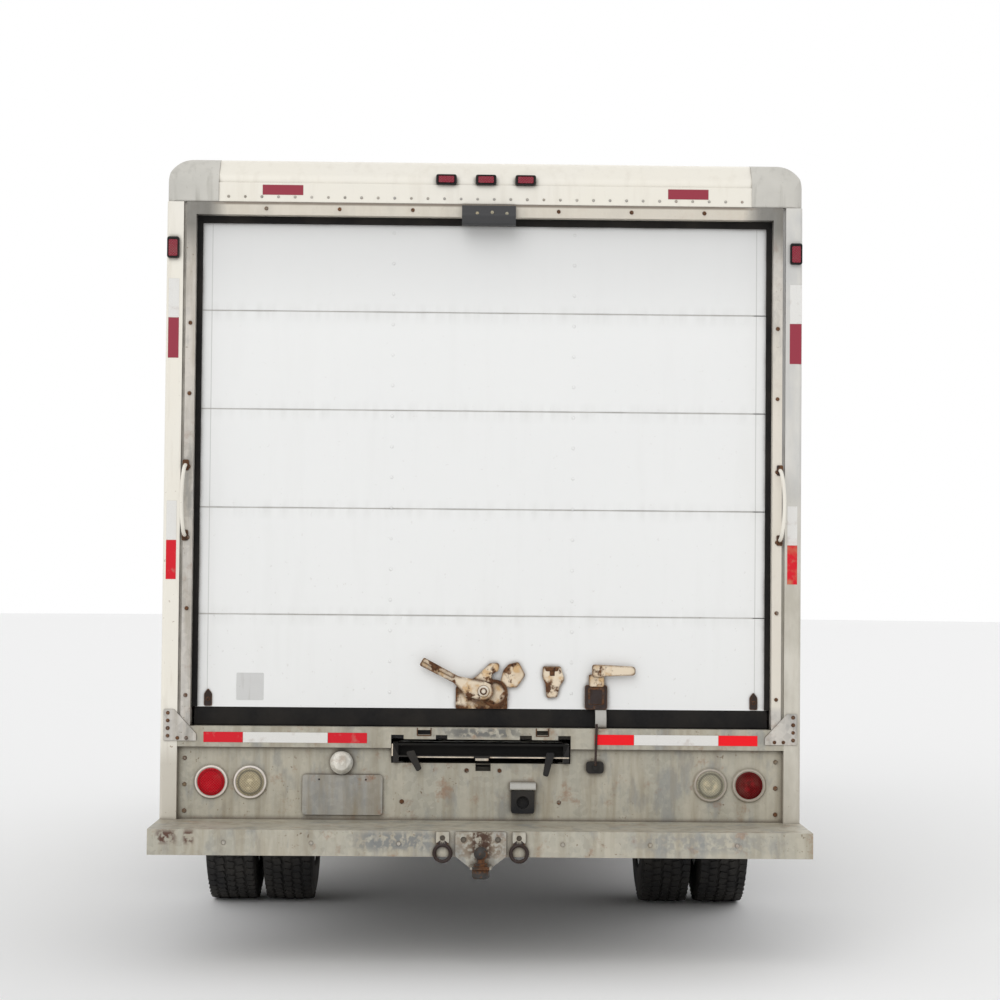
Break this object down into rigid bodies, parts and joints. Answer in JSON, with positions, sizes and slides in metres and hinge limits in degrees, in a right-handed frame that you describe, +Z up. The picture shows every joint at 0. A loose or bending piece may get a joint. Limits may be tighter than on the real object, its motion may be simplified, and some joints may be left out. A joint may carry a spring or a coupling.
{
  "type": "box truck",
  "caption": "White box truck with a roll-up rear door, step bumper, slide-out loading ramp, twin rear wheels and a hooded cab.",
  "frame": {"origin": "on the ground under the middle of the overall length", "axes": "+X to the truck's right, +Y forwards, +Z up"},
  "size_m": [2.58, 7.27, 3.0609],
  "materials": {
    "frame_black": "satin black",
    "cast_dark": "rough",
    "cab_paint": "gloss white",
    "box_white": "white sheet",
    "cream_paint": "cream paint",
    "galvanised": "galvanised, weathered",
    "cap_grey": "cast",
    "glass_clear": "clear",
    "lens_red": "red lens",
    "lens_amber": "amber lens",
    "lens_clear": "clear lens",
    "rubber_black": "seal",
    "tyre_black": "tyre",
    "rim_white": "white rim",
    "seat_cloth": "grey cloth",
    "trim_grey": "moulded",
    "trim_black": "moulded",
    "ramp_metal": "mill finish",
    "plate_grey": "blank plate",
    "steel_rusty": "rusted steel"
  },
  "bodies": {
    "truck": {"chassis_frame": "frame_black", "engine_block": "cast_dark", "rear_axle": "cast_dark", "leaf_springs": "cast_dark", "front_axle": "cast_dark", "fuel_tank": "frame_black", "exhaust": "steel_rusty", "cab_shell": "cab_paint", "front_fenders": "cab_paint", "grille": "cab_paint", "front_bumper": "rim_white", "windscreen": "glass_clear", "cab_seats": "seat_cloth", "dashboard": "trim_grey", "box_floor": "galvanised", "box_side_walls": "box_white", "box_front_wall": "box_white", "box_roof": "box_white", "rear_posts": "cream_paint", "door_surround": "galvanised", "rear_header": "cream_paint", "header_caps": "cap_grey", "rear_sill": "galvanised", "door_panels": "box_white", "door_seals": "rubber_black", "door_locks": "cream_paint", "grab_handles": "cream_paint", "ramp_tray": "frame_black", "rear_bumper": "galvanised", "hitch": "cream_paint", "red_lamps": "lens_red", "clear_lamps": "lens_clear", "amber_lamps": "lens_amber", "licence_plate": "plate_grey", "rear_fittings": "trim_black"},
    "hood": {"hood": "cab_paint"},
    "ramp": {"ramp": "ramp_metal"},
    "tie_rod": {"tie_rod": "cast_dark"},
    "steering_wheel": {"steering_wheel": "trim_black"},
    "steer_left": {"steering_knuckle_left": "cast_dark"},
    "front_wheel_left": {"front_tyre_left": "tyre_black", "front_rim_left": "rim_white"},
    "rear_wheels_left": {"rear_tyres_left": "tyre_black", "rear_rims_left": "rim_white"},
    "door_left": {"cab_door_left": "cab_paint", "door_glass_left": "glass_clear", "door_mirror_left": "trim_black"},
    "steer_right": {"steering_knuckle_right": "cast_dark"},
    "front_wheel_right": {"front_tyre_right": "tyre_black", "front_rim_right": "rim_white"},
    "rear_wheels_right": {"rear_tyres_right": "tyre_black", "rear_rims_right": "rim_white"},
    "door_right": {"cab_door_right": "cab_paint", "door_glass_right": "glass_clear", "door_mirror_right": "trim_black"}
  },
  "joints": [
    {"name": "steer_left", "type": "hinge", "parent": "truck", "child": "steer_left", "pos_m": [-0.72, 2.855, 0.3725], "axis": [0, 0, 1], "range_deg": [-35, 35]},
    {"name": "steer_right", "type": "hinge", "parent": "truck", "child": "steer_right", "pos_m": [0.72, 2.855, 0.3725], "axis": [0, 0, 1], "range_deg": [-35, 35]},
    {"name": "front_wheel_left_spin", "type": "hinge", "parent": "steer_left", "child": "front_wheel_left", "pos_m": [-0.85, 2.855, 0.3725], "axis": [1, 0, 0], "continuous": true},
    {"name": "front_wheel_right_spin", "type": "hinge", "parent": "steer_right", "child": "front_wheel_right", "pos_m": [0.85, 2.855, 0.3725], "axis": [1, 0, 0], "continuous": true},
    {"name": "rear_wheels_left_spin", "type": "hinge", "parent": "truck", "child": "rear_wheels_left", "pos_m": [-0.957, -1.615, 0.3725], "axis": [1, 0, 0], "continuous": true},
    {"name": "rear_wheels_right_spin", "type": "hinge", "parent": "truck", "child": "rear_wheels_right", "pos_m": [0.957, -1.615, 0.3725], "axis": [1, 0, 0], "continuous": true},
    {"name": "tie_rod_joint", "type": "hinge", "parent": "steer_left", "child": "tie_rod", "pos_m": [-0.72, 2.685, 0.2915], "axis": [0, 0, 1], "range_deg": [-36, 36]},
    {"name": "steering_wheel_turn", "type": "hinge", "parent": "truck", "child": "steering_wheel", "pos_m": [-0.48, 2.515, 1.34], "axis": [0, -0.7071, 0.7071], "range_deg": [-530, 530]},
    {"name": "door_left_hinge", "type": "hinge", "parent": "truck", "child": "door_left", "pos_m": [-1.004, 2.658, 1.13], "axis": [0, 0, -1], "range_deg": [0, 65]},
    {"name": "door_right_hinge", "type": "hinge", "parent": "truck", "child": "door_right", "pos_m": [1.004, 2.658, 1.13], "axis": [0, 0, 1], "range_deg": [0, 65]},
    {"name": "hood_hinge", "type": "hinge", "parent": "truck", "child": "hood", "pos_m": [0, 2.961, 1.334], "axis": [1, 0, 0], "range_deg": [0, 50]},
    {"name": "ramp_slide", "type": "slide", "parent": "truck", "child": "ramp", "axis": [0, -1, 0], "range_m": [0, 2.3]}
  ],
  "couplings": [
    {"joint": "steer_right", "follows": "steer_left", "ratio": 1},
    {"joint": "tie_rod_joint", "follows": "steer_left", "ratio": -1},
    {"joint": "steering_wheel_turn", "follows": "steer_left", "ratio": 15}
  ]
}
